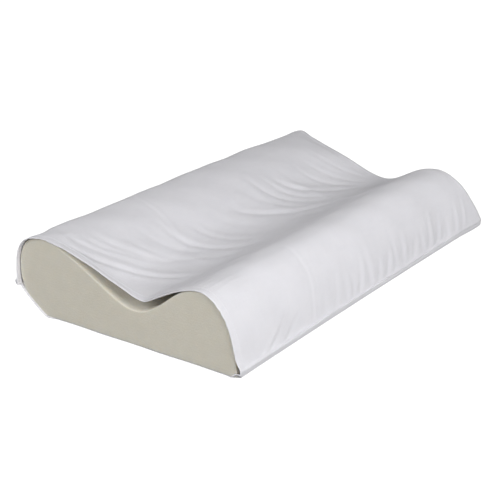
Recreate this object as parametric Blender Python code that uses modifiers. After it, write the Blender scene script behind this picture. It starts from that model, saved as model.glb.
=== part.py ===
"""Contoured neck pillow: a two-lobe foam block in a removable sewn cover. Metres, +Z up.

The block lies along X. The small lobe is its front (-Y), the large lobe its back (+Y). The
cover is a tube of cloth that is open at its -X end and closed by a sewn end panel at +X, so
it pulls off the foam along +X. The origin is under the middle of the whole, on the surface
that the pillow rests on.

Profiles are drawn in a section plane (y, z), with y measured from the foam's front bottom
edge towards the large lobe, and z from the foam's underside.
"""

import math

import bmesh
import bpy
from mathutils import Vector
from mathutils.geometry import interpolate_bezier

OBJECT_NAME = "contour_neck_pillow"

# Foam block
FOAM_LENGTH = 0.559
FOAM_DEPTH = 0.330
SMALL_LOBE_HEIGHT = 0.091
SMALL_LOBE_CREST_Y = 0.050
VALLEY_HEIGHT = 0.044
VALLEY_Y = 0.148
LARGE_LOBE_HEIGHT = 0.100
LARGE_LOBE_CREST_Y = 0.292
BACK_NOSE_HEIGHT = 0.054
FLAT_UNDERSIDE_DEPTH = 0.284

# Sewn cover
CLOTH_THICKNESS = 0.0012
COVER_CLEARANCE = 0.0010
OPEN_END_OVERHANG = 0.008
CLOSED_END_OVERHANG = 0.040
BRIDGED_VALLEY_HEIGHT = 0.0585
BRIDGED_VALLEY_Y = 0.140
FRONT_FACE_Y = -0.0065
FRONT_SEAM_HEIGHT = 0.006
FRONT_TURN_UP_HEIGHT = 0.010
FRONT_TURN_UP_Y = -0.0042
TOP_PANEL_BACK_EDGE_HEIGHT = 0.028
BACK_LIP_HEIGHT = 0.038
BACK_LIP_Y = 0.3345
BACK_BEAD_RADIUS = 0.0017
BACK_BEAD_RESOLUTION = 3
END_PANEL_INSET = 0.0004
TOP_PANEL_FRONT_EDGE_DROP = 0.005
TOP_PANEL_BACK_EDGE_Y = 0.3276
TOP_PANEL_BACK_EDGE_HEADING = math.radians(-110)
FRONT_CORNER_RADIUS = 0.003
BACK_TURN_Y = FLAT_UNDERSIDE_DEPTH - 0.002
BACK_LIP_HEADING = math.radians(78)
BACK_CLEAR_HEIGHT = 0.0216
BACK_CLEAR_Y = 0.297

# Sewing thread
THREAD_RADIUS = 0.00025
THREAD_RESOLUTION = 1
THREAD_GAP = 0.0003
HEM_WIDTH = 0.012
HEM_INNER_THREAD_SETBACK = 0.005
END_SEAM_SETBACK = 0.004
SEAM_END_MARGIN = 0.003
HEM_END_MARGIN = 0.003
HEM_INNER_FRONT_Y = 0.002
HEM_INNER_BACK_Y = 0.280
BACK_SEAM_DROP = 0.006
BACK_SEAM_INSET = 0.0006

# Care label, blank, caught in the back seam
LABEL_WIDTH = 0.030
LABEL_THICKNESS = 0.0006
LABEL_TOP_HEIGHT = 0.033
LABEL_BOTTOM_HEIGHT = 0.007
LABEL_BACK_Y = 0.3385
LABEL_TOP_INSET = 0.0008
LABEL_BOTTOM_INSET = 0.0015
LABEL_LEAN = math.radians(10)
LABEL_FROM_CLOSED_END = 0.070

# Where the foam and the cover lie
FOAM_LIFT = CLOTH_THICKNESS + COVER_CLEARANCE
COVER_OFFSET = COVER_CLEARANCE + CLOTH_THICKNESS / 2
COVER_LENGTH = OPEN_END_OVERHANG + FOAM_LENGTH + CLOSED_END_OVERHANG
OPEN_END_X = -COVER_LENGTH / 2
CLOSED_END_X = COVER_LENGTH / 2
FOAM_CENTRE_X = OPEN_END_X + OPEN_END_OVERHANG + FOAM_LENGTH / 2
THREAD_STANDOFF = CLOTH_THICKNESS / 2 + THREAD_GAP + THREAD_RADIUS
FRONT_MOST_Y = FRONT_FACE_Y - THREAD_STANDOFF - THREAD_RADIUS
BACK_MOST_Y = LABEL_BACK_Y + LABEL_THICKNESS / 2
CENTRE_Y = (FRONT_MOST_Y + BACK_MOST_Y) / 2
UNDERSIDE_CLOTH_Z = CLOTH_THICKNESS / 2 - FOAM_LIFT

# Section curves. A handle is how far a curve runs on along its heading beside a point.
CIRCLE_HANDLE = 0.5523
UP = math.radians(90)
DOWN = -UP
BACKWARDS = math.radians(180)
FOAM_CREST_TO_VALLEY = 0.040
FOAM_VALLEY_TO_LARGE_LOBE = 0.034
FOAM_BEFORE_LARGE_LOBE = 0.052
FOAM_AFTER_LARGE_LOBE = 0.026
FOAM_ABOVE_NOSE = 0.028
CLOTH_FRONT_RISE = 0.041
CLOTH_BEFORE_SMALL_LOBE = 0.029
CLOTH_AFTER_SMALL_LOBE = 0.037
CLOTH_BEFORE_VALLEY = 0.030
CLOTH_AFTER_VALLEY = 0.045
CLOTH_BEFORE_LARGE_LOBE = 0.052
CLOTH_AFTER_LARGE_LOBE = 0.028
CLOTH_ABOVE_NOSE = 0.029
CLOTH_BELOW_NOSE = 0.012
CLOTH_BEFORE_BACK_EDGE = 0.010
CLOTH_BACK_TURN = 0.030
LABEL_TOP_HANDLE = 0.006
LABEL_HANDLE = 0.005
CURVE_STEPS = 14
WELD_DISTANCE = 0.00001
SHARP_ANGLE = math.radians(35)
SECTION_ROTATION = (math.radians(90), 0, math.radians(90))


def make_material(name, colour, roughness):
    material = bpy.data.materials.new(name)
    material.use_nodes = True
    shader = material.node_tree.nodes["Principled BSDF"]
    shader.inputs["Base Color"].default_value = (*colour, 1)
    shader.inputs["Roughness"].default_value = roughness
    shader.inputs["Metallic"].default_value = 0
    return material


def clear_scene():
    for obj in list(bpy.data.objects):
        bpy.data.objects.remove(obj)


def new_collection(name):
    collection = bpy.data.collections.new(name)
    bpy.context.scene.collection.children.link(collection)
    return collection


def knot(y, z, heading=0.0, reach_in=0.0, reach_out=0.0):
    """A curve point: its place, the angle the curve leaves it at, and its two handle lengths."""
    place = Vector((y, z))
    along = Vector((math.cos(heading), math.sin(heading)))
    return place, place - along * reach_in, place + along * reach_out


def sample(knots):
    """Points along the smooth curve through the knots."""
    points = [knots[0][0]]
    for (start, _, leaving), (end, arriving, _) in zip(knots, knots[1:]):
        straight = leaving == start and arriving == end
        if straight:
            points.append(end)
        else:
            points += [p.to_2d() for p in interpolate_bezier(start, leaving, arriving, end, CURVE_STEPS)[1:]]
    return points


def beside(path, distance):
    """The path moved sideways, to the left of its direction of travel."""
    moved = []
    for index, point in enumerate(path):
        before = path[max(index - 1, 0)]
        after = path[min(index + 1, len(path) - 1)]
        along = (after - before).normalized()
        moved.append(point + Vector((-along.y, along.x)) * distance)
    return moved


def foam_section():
    """The foam's outline, from the front bottom edge over both lobes to the back of the flat underside."""
    front_rise = SMALL_LOBE_HEIGHT * CIRCLE_HANDLE
    front_run = SMALL_LOBE_CREST_Y * CIRCLE_HANDLE
    back_run = (FOAM_DEPTH - FLAT_UNDERSIDE_DEPTH) * CIRCLE_HANDLE
    back_rise = BACK_NOSE_HEIGHT * CIRCLE_HANDLE
    return sample([
        knot(0, 0, UP, 0, front_rise),
        knot(SMALL_LOBE_CREST_Y, SMALL_LOBE_HEIGHT, 0, front_run, FOAM_CREST_TO_VALLEY),
        knot(VALLEY_Y, VALLEY_HEIGHT, 0, FOAM_CREST_TO_VALLEY, FOAM_VALLEY_TO_LARGE_LOBE),
        knot(LARGE_LOBE_CREST_Y, LARGE_LOBE_HEIGHT, 0, FOAM_BEFORE_LARGE_LOBE, FOAM_AFTER_LARGE_LOBE),
        knot(FOAM_DEPTH, BACK_NOSE_HEIGHT, DOWN, FOAM_ABOVE_NOSE, back_rise),
        knot(FLAT_UNDERSIDE_DEPTH, 0, BACKWARDS, back_run, 0),
    ])


def top_panel_path():
    """The middle of the top cloth: up the front face, over both lobes, and down to the back seam."""
    front_edge = FRONT_SEAM_HEIGHT - TOP_PANEL_FRONT_EDGE_DROP
    small_crest = SMALL_LOBE_HEIGHT + COVER_OFFSET
    large_crest = LARGE_LOBE_HEIGHT + COVER_OFFSET
    back_edge = (TOP_PANEL_BACK_EDGE_Y, TOP_PANEL_BACK_EDGE_HEIGHT)
    return sample([
        knot(FRONT_FACE_Y, front_edge, UP, 0, CLOTH_FRONT_RISE),
        knot(SMALL_LOBE_CREST_Y, small_crest, 0, CLOTH_BEFORE_SMALL_LOBE, CLOTH_AFTER_SMALL_LOBE),
        knot(BRIDGED_VALLEY_Y, BRIDGED_VALLEY_HEIGHT, 0, CLOTH_BEFORE_VALLEY, CLOTH_AFTER_VALLEY),
        knot(LARGE_LOBE_CREST_Y, large_crest, 0, CLOTH_BEFORE_LARGE_LOBE, CLOTH_AFTER_LARGE_LOBE),
        knot(FOAM_DEPTH + COVER_OFFSET, BACK_NOSE_HEIGHT, DOWN, CLOTH_ABOVE_NOSE, CLOTH_BELOW_NOSE),
        knot(*back_edge, TOP_PANEL_BACK_EDGE_HEADING, CLOTH_BEFORE_BACK_EDGE, 0),
    ])


def bottom_panel_path():
    """The middle of the bottom cloth: the turn-up behind the front seam, the underside, and the back lip."""
    reach = FRONT_CORNER_RADIUS * CIRCLE_HANDLE
    return sample([
        knot(FRONT_TURN_UP_Y, FRONT_TURN_UP_HEIGHT),
        knot(FRONT_TURN_UP_Y, UNDERSIDE_CLOTH_Z + FRONT_CORNER_RADIUS, DOWN, 0, reach),
        knot(FRONT_TURN_UP_Y + FRONT_CORNER_RADIUS, UNDERSIDE_CLOTH_Z, 0, reach, 0),
        knot(BACK_TURN_Y, UNDERSIDE_CLOTH_Z, 0, 0, CLOTH_BACK_TURN),
        knot(BACK_LIP_Y, BACK_LIP_HEIGHT, BACK_LIP_HEADING, CLOTH_BACK_TURN, 0),
    ])


def section_curve(name, points, half_length, centre_x, closed):
    """A curve through section points, extruded along X: a filled block if closed, else a ribbon."""
    curve = bpy.data.curves.new(name, "CURVE")
    curve.dimensions = "2D"
    curve.fill_mode = "BOTH" if closed else "NONE"
    curve.extrude = half_length
    spline = curve.splines.new("POLY")
    spline.points.add(len(points) - 1)
    for point, target in zip(points, spline.points):
        target.co = (point.x, point.y, 0, 1)
    spline.use_cyclic_u = closed
    obj = bpy.data.objects.new(name, curve)
    obj.location = (centre_x, -CENTRE_Y, FOAM_LIFT)
    obj.rotation_euler = SECTION_ROTATION
    return obj


def as_mesh(obj, parts):
    """The curve object as a welded mesh object of the same name and place."""
    name = obj.name
    parts.objects.link(obj)
    bpy.context.view_layer.update()
    evaluated = obj.evaluated_get(bpy.context.evaluated_depsgraph_get())
    mesh = bpy.data.meshes.new_from_object(evaluated)
    matrix = obj.matrix_world.copy()
    bpy.data.objects.remove(obj)
    work = bmesh.new()
    work.from_mesh(mesh)
    bmesh.ops.remove_doubles(work, verts=work.verts, dist=WELD_DISTANCE)
    bmesh.ops.recalc_face_normals(work, faces=work.faces)
    work.to_mesh(mesh)
    work.free()
    made = bpy.data.objects.new(name, mesh)
    made.matrix_world = matrix
    parts.objects.link(made)
    return made


def finish_mesh(obj, material):
    obj.data.materials.clear()
    obj.data.materials.append(material)
    obj.data.shade_smooth()
    obj.data.set_sharp_from_angle(angle=SHARP_ANGLE)


def make_block(name, outline, length, centre_x, material, parts):
    obj = as_mesh(section_curve(name, outline, length / 2, centre_x, True), parts)
    finish_mesh(obj, material)
    return obj


def make_cloth(name, path, length, centre_x, thickness, material, parts):
    """A strip of cloth along X that follows the path, which is the middle of its thickness."""
    obj = as_mesh(section_curve(name, path, length / 2, centre_x, False), parts)
    solidify = obj.modifiers.new("cloth_thickness", "SOLIDIFY")
    solidify.thickness = thickness
    solidify.offset = 0
    solidify.use_even_offset = True
    finish_mesh(obj, material)
    return obj


def make_thread(name, points, material, parts):
    """A round strand through world points."""
    curve = bpy.data.curves.new(name, "CURVE")
    curve.dimensions = "3D"
    curve.bevel_depth = THREAD_RADIUS
    curve.bevel_resolution = THREAD_RESOLUTION
    curve.use_fill_caps = True
    spline = curve.splines.new("POLY")
    spline.points.add(len(points) - 1)
    for point, target in zip(points, spline.points):
        target.co = (*point, 1)
    curve.materials.append(material)
    obj = bpy.data.objects.new(name, curve)
    parts.objects.link(obj)
    return obj


def in_world(point, x):
    return Vector((x, point.x - CENTRE_Y, point.y + FOAM_LIFT))


def make_bottom_panel(material, parts, cutters):
    """The bottom cloth, with the rolled bead that stands along its back lip."""
    path = bottom_panel_path()
    panel = make_cloth("cover_bottom_panel", path, COVER_LENGTH, 0, CLOTH_THICKNESS, material, parts)
    bead_path = [in_world(path[-1], OPEN_END_X), in_world(path[-1], CLOSED_END_X)]
    bead_curve = make_thread("back_bead", bead_path, material, cutters)
    bead_curve.data.bevel_depth = BACK_BEAD_RADIUS
    bead_curve.data.bevel_resolution = BACK_BEAD_RESOLUTION
    cutters.objects.unlink(bead_curve)
    bead = as_mesh(bead_curve, cutters)
    bead.hide_render = True
    bead.display_type = "WIRE"
    union = panel.modifiers.new("rolled_bead", "BOOLEAN")
    union.operation = "UNION"
    union.object = bead
    return panel


def end_panel_outline():
    """The inside of the closed cover tube, a little smaller all round."""
    inset = CLOTH_THICKNESS / 2 + END_PANEL_INSET
    over = beside(top_panel_path(), -inset)
    under = beside(bottom_panel_path(), inset)
    over = [p for p in over if p.y > FRONT_TURN_UP_HEIGHT + inset]
    over = [p for p in over if p.x < BACK_CLEAR_Y or p.y > BACK_CLEAR_HEIGHT + inset]
    under = [p for p in under if p.y < BACK_CLEAR_HEIGHT]
    return over + list(reversed(under))


def end_seam_points():
    """The row of stitches just inside the end panel's edge, open by one stitch at the back."""
    outline = beside(end_panel_outline(), -END_SEAM_SETBACK)
    x = CLOSED_END_X - CLOTH_THICKNESS - THREAD_GAP - THREAD_RADIUS
    return [in_world(p, x) for p in outline]


def hem_points():
    """The top hem's stitches, from just above the front seam to just above the back lip."""
    path = beside(top_panel_path(), THREAD_STANDOFF)
    above_front = [p for p in path if p.x > FOAM_DEPTH / 2 or p.y > FRONT_SEAM_HEIGHT + HEM_END_MARGIN]
    shown = [p for p in above_front if p.x < FOAM_DEPTH / 2 or p.y > BACK_LIP_HEIGHT + HEM_END_MARGIN]
    return [in_world(p, OPEN_END_X + HEM_WIDTH) for p in shown]


def hem_inner_points():
    """The bottom hem's stitches, on the inner face of the bottom cloth."""
    z = UNDERSIDE_CLOTH_Z + THREAD_STANDOFF - THREAD_GAP / 2
    x = OPEN_END_X + HEM_INNER_THREAD_SETBACK
    ends = (Vector((HEM_INNER_FRONT_Y, z)), Vector((HEM_INNER_BACK_Y, z)))
    return [in_world(p, x) for p in ends]


def straight_seam(y, z):
    """A row of stitches along the whole cover at one point of the section."""
    point = Vector((y, z))
    return [in_world(point, OPEN_END_X + SEAM_END_MARGIN), in_world(point, CLOSED_END_X - SEAM_END_MARGIN)]


def label_path():
    """The label's line, from the back seam down, where it curls in at its loose end."""
    middle_height = (LABEL_TOP_HEIGHT + LABEL_BOTTOM_HEIGHT) / 2
    top_y = LABEL_BACK_Y - LABEL_TOP_INSET
    bottom_y = LABEL_BACK_Y - LABEL_BOTTOM_INSET
    return sample([
        knot(top_y, LABEL_TOP_HEIGHT, DOWN + LABEL_LEAN, 0, LABEL_TOP_HANDLE),
        knot(LABEL_BACK_Y, middle_height, DOWN, LABEL_HANDLE, LABEL_HANDLE),
        knot(bottom_y, LABEL_BOTTOM_HEIGHT, DOWN - LABEL_LEAN, LABEL_HANDLE, 0),
    ])


def main():
    clear_scene()
    parts = new_collection(OBJECT_NAME)
    cutters = new_collection("cutters")
    foam = make_material("cream_foam", (0.52, 0.49, 0.42), 0.95)
    cotton = make_material("white_cotton", (0.80, 0.80, 0.82), 0.85)
    thread = make_material("white_thread", (0.86, 0.86, 0.87), 0.6)
    satin = make_material("white_label_satin", (0.84, 0.84, 0.84), 0.45)

    make_block("foam_core", foam_section(), FOAM_LENGTH, FOAM_CENTRE_X, foam, parts)
    make_cloth("cover_top_panel", top_panel_path(), COVER_LENGTH, 0, CLOTH_THICKNESS, cotton, parts)
    make_bottom_panel(cotton, parts, cutters)
    end_panel_x = CLOSED_END_X - CLOTH_THICKNESS / 2
    make_block("cover_end_panel", end_panel_outline(), CLOTH_THICKNESS, end_panel_x, cotton, parts)

    make_thread("hem_thread_top", hem_points(), thread, parts)
    make_thread("hem_thread_bottom", hem_inner_points(), thread, parts)
    front_seam = straight_seam(FRONT_FACE_Y - THREAD_STANDOFF, FRONT_SEAM_HEIGHT)
    make_thread("front_seam_thread", front_seam, thread, parts)
    back_seam_y = BACK_LIP_Y + THREAD_STANDOFF - BACK_SEAM_INSET
    back_seam = straight_seam(back_seam_y, BACK_LIP_HEIGHT - BACK_SEAM_DROP)
    make_thread("back_seam_thread", back_seam, thread, parts)
    make_thread("end_seam_thread", end_seam_points(), thread, parts)

    label_x = CLOSED_END_X - LABEL_FROM_CLOSED_END
    make_cloth("care_label", label_path(), LABEL_WIDTH, label_x, LABEL_THICKNESS, satin, parts)


main()
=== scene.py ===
"""Looks of the contoured neck pillow: foam block, sewn cover by cloth simulation, seams and stitches."""

import math

import bmesh
import bpy
import numpy as np
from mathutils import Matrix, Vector


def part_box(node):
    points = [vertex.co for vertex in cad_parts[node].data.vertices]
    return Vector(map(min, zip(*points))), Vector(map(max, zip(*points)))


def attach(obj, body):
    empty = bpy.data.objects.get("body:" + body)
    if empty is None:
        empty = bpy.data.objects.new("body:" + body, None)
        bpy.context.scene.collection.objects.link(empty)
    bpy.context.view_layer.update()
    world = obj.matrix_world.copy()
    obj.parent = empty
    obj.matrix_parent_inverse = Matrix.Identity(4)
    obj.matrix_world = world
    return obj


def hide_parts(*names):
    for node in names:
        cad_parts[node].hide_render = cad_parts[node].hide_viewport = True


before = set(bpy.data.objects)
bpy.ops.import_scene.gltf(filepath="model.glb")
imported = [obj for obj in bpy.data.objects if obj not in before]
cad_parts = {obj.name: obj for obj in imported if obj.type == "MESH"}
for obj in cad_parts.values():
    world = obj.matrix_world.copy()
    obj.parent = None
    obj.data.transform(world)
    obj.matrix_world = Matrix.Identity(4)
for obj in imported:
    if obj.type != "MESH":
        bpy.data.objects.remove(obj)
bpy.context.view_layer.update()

# ---------------------------------------------------------------- measures, in metres
FOAM_LOW, FOAM_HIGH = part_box("foam_core")
COVER_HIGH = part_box("cover_top_panel")[1]
LABEL_LOW, LABEL_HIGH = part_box("care_label")
FOAM_DEPTH = FOAM_HIGH.y - FOAM_LOW.y
FOAM_HEIGHT = FOAM_HIGH.z - FOAM_LOW.z
FOAM_LENGTH = FOAM_HIGH.x - FOAM_LOW.x
CLOSED_END_FULLNESS = 0.003
FAR_REACH = COVER_HIGH.x - FOAM_HIGH.x + CLOSED_END_FULLNESS

SMALL_LOBE = (0.050, 0.091)
VALLEY = (0.148, 0.044)
LARGE_LOBE_Y = 0.292
NOSE_Z = 0.054
FLAT_DEPTH = 0.284
FRONT_Y = -0.0062
SEAM_Z = 0.0060
UNDERSIDE_LIFT = 0.0005
UNDERSIDE_Z = -FOAM_LOW.z + UNDERSIDE_LIFT
BACK_SEAM = (0.3300, 0.0325)

CLOTH = 0.0006
HEM_ROWS = 5
HEM_LIFT = 0.0009
HEM_INNER_GAP = 0.0003
HEM_ROUNDNESS = 0.62
CLOTH_GAP = 0.0008
FOAM_END_EASE = 0.0014
FOAM_END_EASE_LENGTH = 0.0018
FOAM_CAP_RIM = 0.0004
CLOSED_PRESS = 0.0070
CLOSED_PRESS_LENGTH = 0.022
BROAD_PRESS = 0.0022

# Handle lengths and headings of the section curves.
CIRCLE = 0.5523
UP = math.radians(90)
FOAM_CREST_TO_VALLEY = 0.040
FOAM_VALLEY_TO_LOBE = 0.034
FOAM_BEFORE_LOBE = 0.052
FOAM_AFTER_LOBE = 0.026
FOAM_ABOVE_NOSE = 0.028
CLOTH_FRONT_RISE = 0.034
CLOTH_CREST_SHIFT = 0.001
CLOTH_BEFORE_CREST = 0.030
CLOTH_AFTER_CREST = 0.034
CLOTH_INTO_VALLEY = 0.030
CLOTH_OUT_OF_VALLEY = 0.040
SHARP_INTO_VALLEY = 0.024
SHARP_OUT_OF_VALLEY = 0.022
SHARP_TILT = 0.10
CLOTH_LOBE_SHIFT = 0.005
CLOTH_BEFORE_LOBE = 0.056
CLOTH_AFTER_LOBE = 0.027
CLOTH_ABOVE_NOSE = 0.029
CLOTH_BELOW_NOSE = 0.011
CLOTH_BEFORE_SEAM = 0.010
TOP_SEAM_HEADING = math.radians(-104)
UNDER_CORNER = 0.0045
UNDER_FRONT_INSET = 0.0014
UNDER_CORNER_HANDLE = 0.0015
UNDER_FLAT_HANDLE = 0.010
UNDER_TURN_SHIFT = 0.001
UNDER_TURN_HANDLE = 0.028
UNDER_TURN_STRAIGHTER = 0.020
UNDER_SEAM_HEADING = 72
UNDER_SEAM_HEADING_CHANGE = 14
UNDER_SEAM_HANDLE = 0.030
UNDER_SEAM_STRAIGHTER = 0.022

ROWS = 201
COLUMNS = 241
UNDER_COLUMNS = 161
END_ROWS = 27
SEAM_CROWDING = 0.75
SIM_STEP = 2
SIM_FRAMES = 20
SIM_CAP = 0.006
SIM_SMOOTHING = 3
SIM_TOUCH = 0.0006
SEWN_COLUMNS = [0, 1, 2, 3, -4, -3, -2, -1]
OPEN_EDGE_HELD = 0.8
END_SEAM_HELD = 0.9
END_PANEL_DENT = 0.012
NOMINAL_OVERHANG = 0.0040
SEAM_DEPTH = 0.0010
HEM_STITCH_ROW = 3
SEAM_COLUMNS = 4
END_STITCH_ROW = -3


# ---------------------------------------------------------------- curves
def knot(y, z, heading=0.0, reach_in=0.0, reach_out=0.0):
    """A point of a section curve, with its heading and its two handle lengths."""
    place = np.array((y, z))
    along = np.array((math.cos(heading), math.sin(heading)))
    return place, place - along * reach_in, place + along * reach_out


def bezier(knots, steps=60):
    """Dense points (y, z) along the curve through the knots."""
    t = np.linspace(0, 1, steps, endpoint=False)[:, None]
    runs = []
    for (a, _, b), (d, c, _) in zip(knots, knots[1:]):
        runs.append((1 - t) ** 3 * a + 3 * (1 - t) ** 2 * t * b + 3 * (1 - t) * t**2 * c + t**3 * d)
    return np.vstack(runs + [knots[-1][0][None]])


def running_length(points):
    """Distance of each point from the first, along the line."""
    return np.concatenate([[0], np.cumsum(np.linalg.norm(np.diff(points, axis=0), axis=1))])


def even(points, count):
    """The same line, as points an equal distance apart."""
    run = running_length(points)
    at = np.linspace(0, run[-1], count)
    return np.stack([np.interp(at, run, points[:, k]) for k in range(points.shape[1])], axis=1)


def seam_spaced(points, count):
    """The same line, as points that stand closer together towards its two ends, where the seams are."""
    run = running_length(points)
    share = np.linspace(0, 1, count)
    at = run[-1] * (share - SEAM_CROWDING * np.sin(2 * math.pi * share) / (2 * math.pi))
    return np.stack([np.interp(at, run, points[:, k]) for k in range(points.shape[1])], axis=1)


def smooth_step(value, low, high):
    t = np.clip((value - low) / (high - low), 0, 1)
    return t * t * (3 - 2 * t)


def hill(value, centre, width):
    return np.exp(-(((value - centre) / width) ** 2))


def foam_section():
    """The foam's outline from its front bottom edge over the lobes to the back of its flat underside."""
    back_run = (FOAM_DEPTH - FLAT_DEPTH) * CIRCLE
    return bezier([
        knot(0, 0, UP, 0, SMALL_LOBE[1] * CIRCLE),
        knot(*SMALL_LOBE, 0, SMALL_LOBE[0] * CIRCLE, FOAM_CREST_TO_VALLEY),
        knot(*VALLEY, 0, FOAM_CREST_TO_VALLEY, FOAM_VALLEY_TO_LOBE),
        knot(LARGE_LOBE_Y, FOAM_HEIGHT, 0, FOAM_BEFORE_LOBE, FOAM_AFTER_LOBE),
        knot(FOAM_DEPTH, NOSE_Z, -UP, FOAM_ABOVE_NOSE, NOSE_Z * CIRCLE),
        knot(FLAT_DEPTH, 0, math.pi, back_run, 0),
    ])


def cover_section(valley_y, valley_z, sharpness, ease=CLOTH_GAP):
    """The top cloth's line at one place: it bridges the valley and falls to both seams."""
    crest_y = SMALL_LOBE[0] - CLOTH_CREST_SHIFT
    into_valley = CLOTH_INTO_VALLEY - SHARP_INTO_VALLEY * sharpness
    out_of_valley = CLOTH_OUT_OF_VALLEY - SHARP_OUT_OF_VALLEY * sharpness
    lobe_y = LARGE_LOBE_Y - CLOTH_LOBE_SHIFT
    return bezier([
        knot(FRONT_Y, SEAM_Z, UP, 0, CLOTH_FRONT_RISE),
        knot(crest_y, SMALL_LOBE[1] + ease, 0, CLOTH_BEFORE_CREST, CLOTH_AFTER_CREST),
        knot(valley_y, valley_z, -SHARP_TILT * sharpness, into_valley, out_of_valley),
        knot(lobe_y, FOAM_HEIGHT + ease, 0, CLOTH_BEFORE_LOBE, CLOTH_AFTER_LOBE),
        knot(FOAM_DEPTH + ease, NOSE_Z, -UP, CLOTH_ABOVE_NOSE, CLOTH_BELOW_NOSE),
        knot(*BACK_SEAM, TOP_SEAM_HEADING, CLOTH_BEFORE_SEAM, 0),
    ])


def under_section(straightness):
    """The bottom cloth's line: down from the front seam, flat, and up to the back seam."""
    reach = UNDER_CORNER * CIRCLE
    front = FRONT_Y + UNDER_FRONT_INSET
    turn = UNDER_TURN_HANDLE - UNDER_TURN_STRAIGHTER * straightness
    heading = math.radians(UNDER_SEAM_HEADING - UNDER_SEAM_HEADING_CHANGE * straightness)
    last = UNDER_SEAM_HANDLE - UNDER_SEAM_STRAIGHTER * straightness
    return bezier([
        knot(FRONT_Y, SEAM_Z, -UP, 0, UNDER_CORNER_HANDLE),
        knot(front, UNDERSIDE_Z + UNDER_CORNER, -UP, UNDER_CORNER_HANDLE, reach),
        knot(front + UNDER_CORNER, UNDERSIDE_Z, 0, reach, UNDER_FLAT_HANDLE),
        knot(FLAT_DEPTH + UNDER_TURN_SHIFT, UNDERSIDE_Z, 0, UNDER_FLAT_HANDLE, turn),
        knot(*BACK_SEAM, heading, last, 0),
    ])


# ---------------------------------------------------------------- cloth grids
# The lowest point of the top cloth's bridge over the valley, and how it shifts along the pillow.
BRIDGE_HEIGHT = 0.0548
BRIDGE_NEAR_RISE = 0.0048
BRIDGE_FAR_RISE = 0.0020
BRIDGE_Y = 0.1295
BRIDGE_MIDDLE_SHIFT = 0.0145
BRIDGE_FAR_SHIFT = 0.0115

# How far the open edge of each cloth reaches past the foam.
TOP_OVERHANG = 0.0012
LOBE_OVERHANG = 0.0026
LOW_BACK_OVERHANG = 0.0024
LOW_FRONT_SHORTER = 0.0012
UNDER_SLIP = 0.0022
FRONT_CORNER_OVERHANG = 0.0060
FRONT_SEAM_SHORTER = 0.0038
BACK_CORNER_OVERHANG = 0.0036

# How the seams draw the cloth in; each fullness is its height and its distance from the seam.
FRONT_DRAWN_IN = 0.0018
SEAM_WIDTH = 0.0016
TOP_FULLNESS = (0.0009, 0.0048)
UNDER_FULLNESS = (0.0004, 0.0032)
CORNER_CURL = 0.0062

# How far the closed end reaches past the foam at each place, and how it bends there.
LEAST_REACH = 0.003
FRONT_REACH = 0.039
SLOPE_REACH = 0.007
PEAK_REACH = 0.014
BACK_REACH = 0.013
LOW_BACK_REACH = 0.014
UNDER_REACH = 0.030
UNDER_FRONT_REACH = 0.012
END_DROP = 0.0035
CREST_DROP = 0.0018
CORNER_FLARE = 0.0022


def row_positions():
    """Distance of each cloth row from the foam's open end, before the open edge takes its own line."""
    return np.linspace(-NOMINAL_OVERHANG, FOAM_LENGTH + FAR_REACH, ROWS)


def top_overhang(y, z):
    """How far the top cloth's open edge reaches past the foam: furthest low at the back."""
    back = smooth_step(y, 0.270, 0.325)
    low = 1 - smooth_step(z, 0.035, 0.065)
    front_low = (1 - smooth_step(y, 0.0, 0.02)) * (1 - smooth_step(z, 0.008, 0.040))
    wave = 0.0003 * np.sin(y * 120.0 + z * 60.0)
    at_back = LOBE_OVERHANG * back + LOW_BACK_OVERHANG * back * low
    return TOP_OVERHANG + at_back - LOW_FRONT_SHORTER * front_low + wave


def under_overhang(y, z):
    """The same for the bottom cloth, which has slipped back under the foam except at its two corners."""
    front_corner = 1 - smooth_step(y, -0.004, 0.016)
    seam = smooth_step(z, 0.001, 0.006) * (y < 0.1)
    back = smooth_step(y, 0.272, 0.286)
    wave = 0.0005 * np.sin(y * 70.0 + 0.4)
    at_front = FRONT_CORNER_OVERHANG * front_corner - FRONT_SEAM_SHORTER * seam
    return -UNDER_SLIP + at_front + BACK_CORNER_OVERHANG * back + wave * (1 - back)


def set_open_edge(grid, overhang):
    """Slides the first rows along the pillow so that the open edge takes its own line."""
    shift = NOMINAL_OVERHANG - overhang(grid[0, :, 1], grid[0, :, 2])
    fade = 1 - smooth_step(grid[:, 0, 0], -NOMINAL_OVERHANG, 0.050)
    grid[..., 0] += fade[:, None] * shift[None, :]
    return grid


def draw_in_front(grid):
    """Draws the front face's lower edge in a little towards the middle of the pillow's length."""
    x, y, z = grid[..., 0], grid[..., 1], grid[..., 2]
    middle = np.sin(math.pi * np.clip(x / FOAM_LENGTH, 0, 1)) ** 0.8
    grid[..., 1] += FRONT_DRAWN_IN * middle * (y < 0.03) * (1 - smooth_step(z, 0.020, 0.060))


def lie_on_front(grid):
    """Brings the front face's cloth in to the foam beside the open end, above its corner."""
    outline = foam_section()
    front = outline[outline[:, 0] <= SMALL_LOBE[0]]
    x, y, z = grid[..., 0], grid[..., 1], grid[..., 2]
    wanted = np.interp(z, front[:, 1], front[:, 0]) - CLOTH_GAP - HEM_LIFT
    near = 1 - smooth_step(x, 0.010, 0.080)
    above = smooth_step(z, 0.008, 0.024)
    on_face = 1 - smooth_step(y, 0.030, 0.048)
    grid[..., 1] += near * above * on_face * (wanted - y)


def draw_in_seam(grid, fullness, reach):
    """Draws the cloth in along the front seam, and lets it stand out a little beside it."""
    steps = np.linalg.norm(np.diff(grid[..., 1:], axis=1), axis=2)
    run = np.concatenate([np.zeros((len(grid), 1)), np.cumsum(steps, axis=1)], axis=1)
    shown = 0.25 + 0.75 * smooth_step(grid[..., 0], 0.120, 0.360)
    drawn_in = SEAM_DEPTH * hill(run, 0, SEAM_WIDTH)
    grid[..., 1] += shown * (drawn_in - fullness * hill(run, reach, reach / 2))


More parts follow.
